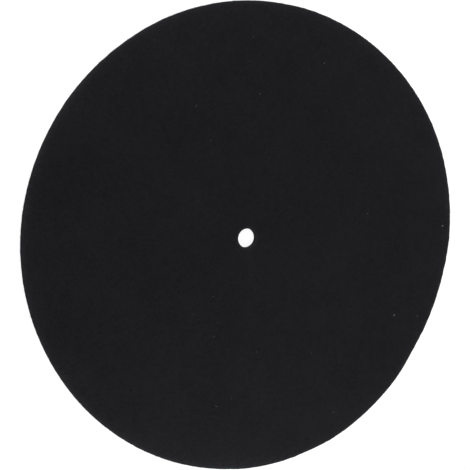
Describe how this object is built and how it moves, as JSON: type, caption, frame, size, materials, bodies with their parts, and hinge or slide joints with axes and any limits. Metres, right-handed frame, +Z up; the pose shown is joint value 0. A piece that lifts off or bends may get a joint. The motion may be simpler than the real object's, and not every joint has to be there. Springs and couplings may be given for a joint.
{
  "type": "turntable platter mat",
  "caption": "Round black felt mat with a central spindle hole, laid flat on a turntable's platter to carry and cushion a record.",
  "frame": {"origin": "centre of the underside, on the spindle's axis", "axes": "+Z up along the spindle's axis, from the platter towards the record; the mat is round, so +X is any direction across it"},
  "size_m": [0.295, 0.295, 0.003],
  "materials": {
    "felt": null
  },
  "bodies": {
    "root": {"felt_disc": "felt"}
  },
  "joints": []
}
